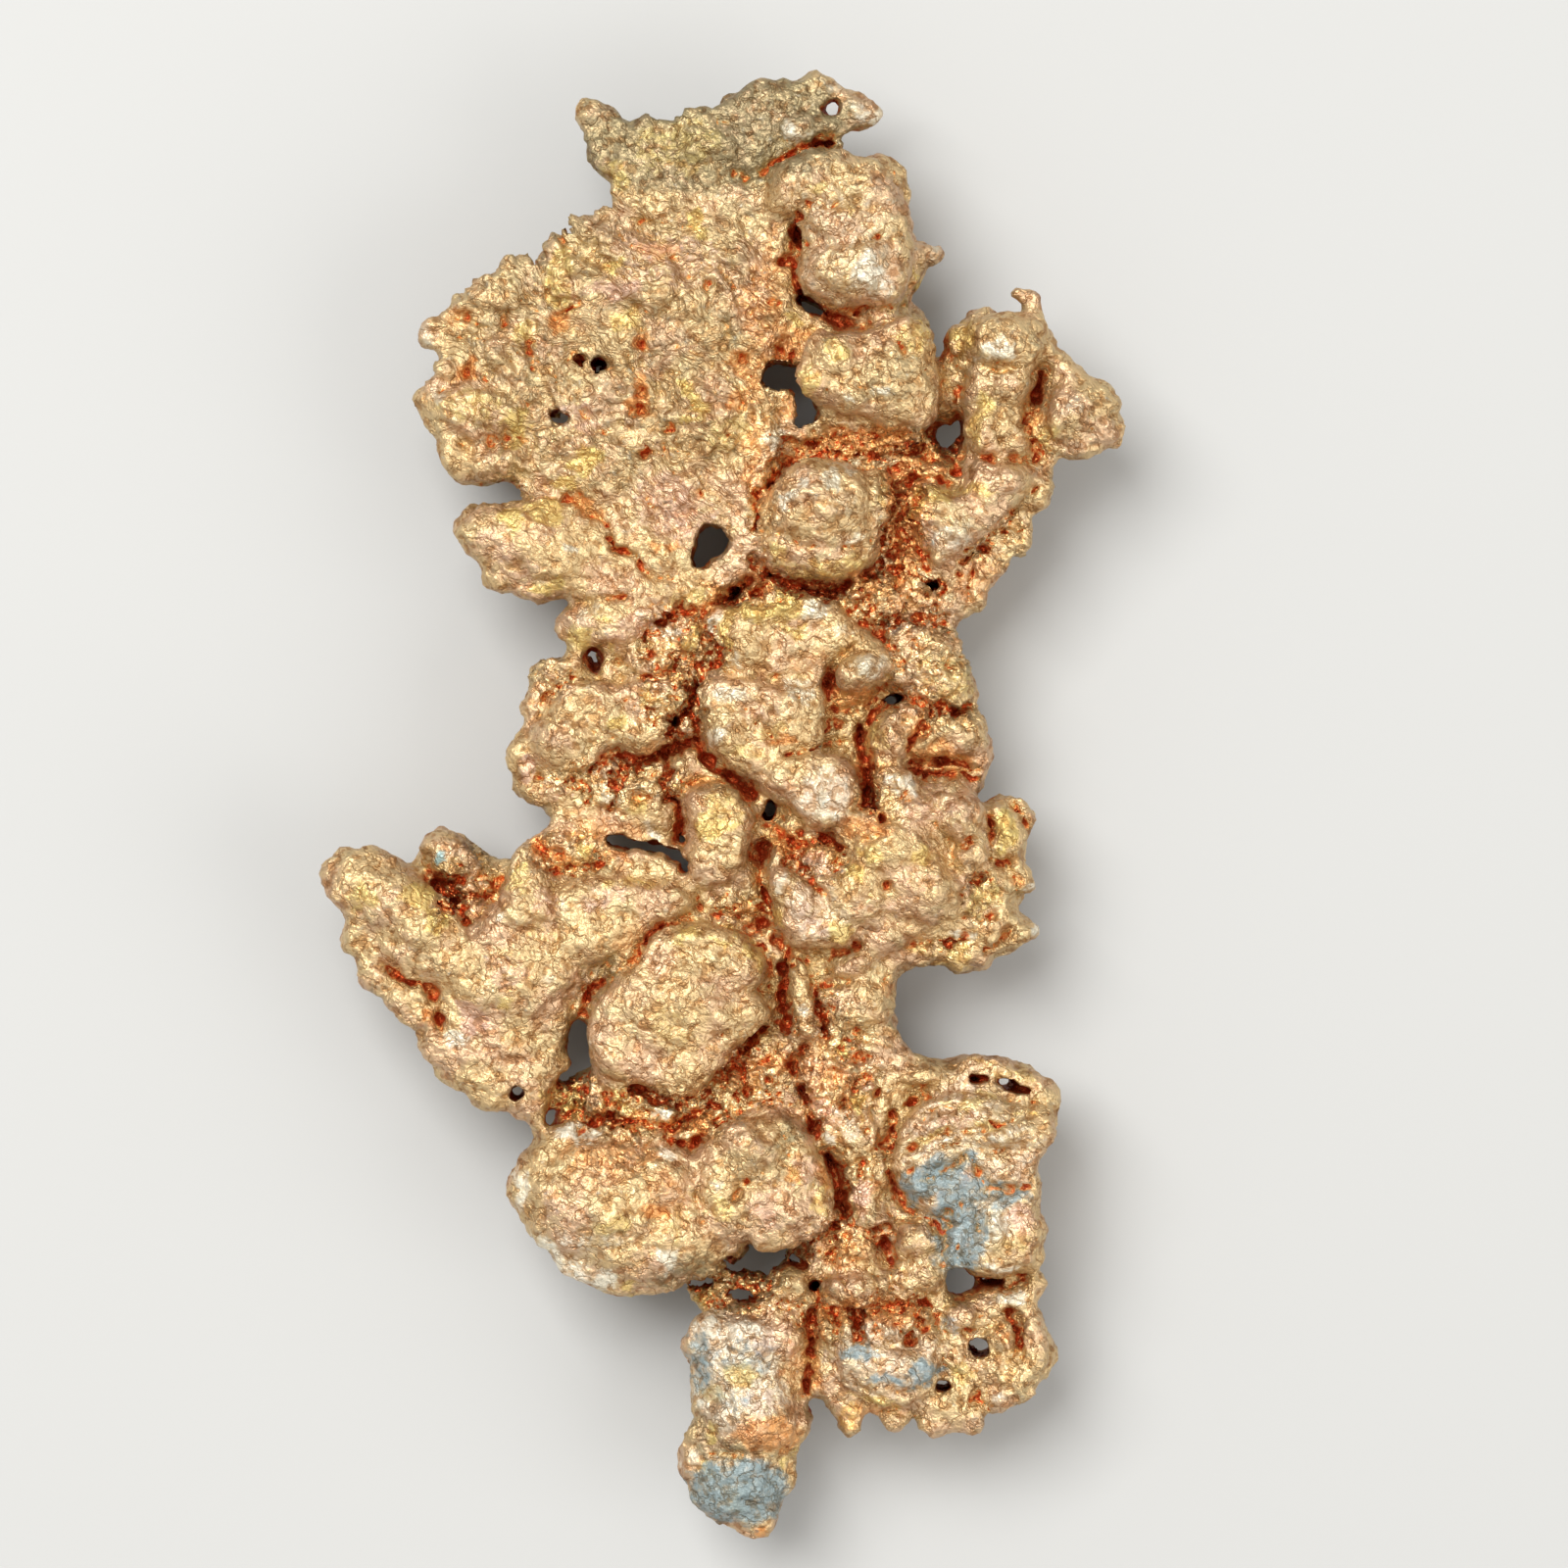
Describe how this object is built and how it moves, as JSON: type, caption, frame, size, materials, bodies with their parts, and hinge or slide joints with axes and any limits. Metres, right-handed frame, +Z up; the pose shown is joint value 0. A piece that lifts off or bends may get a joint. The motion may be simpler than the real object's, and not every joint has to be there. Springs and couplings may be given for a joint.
{
  "type": "native copper nugget",
  "caption": "Nugget of native copper with thin leaves, rounded nodules and through-gaps, lying on its back.",
  "frame": {"origin": "under the middle of the nugget, on the surface it rests on", "axes": "+Z up, out of the face that shows; +Y along the nugget towards its crest; +X to the right"},
  "size_m": [0.0492, 0.0897, 0.0149],
  "materials": {
    "native_copper": "satin"
  },
  "bodies": {
    "root": {"copper_nugget": "native_copper"}
  },
  "joints": []
}
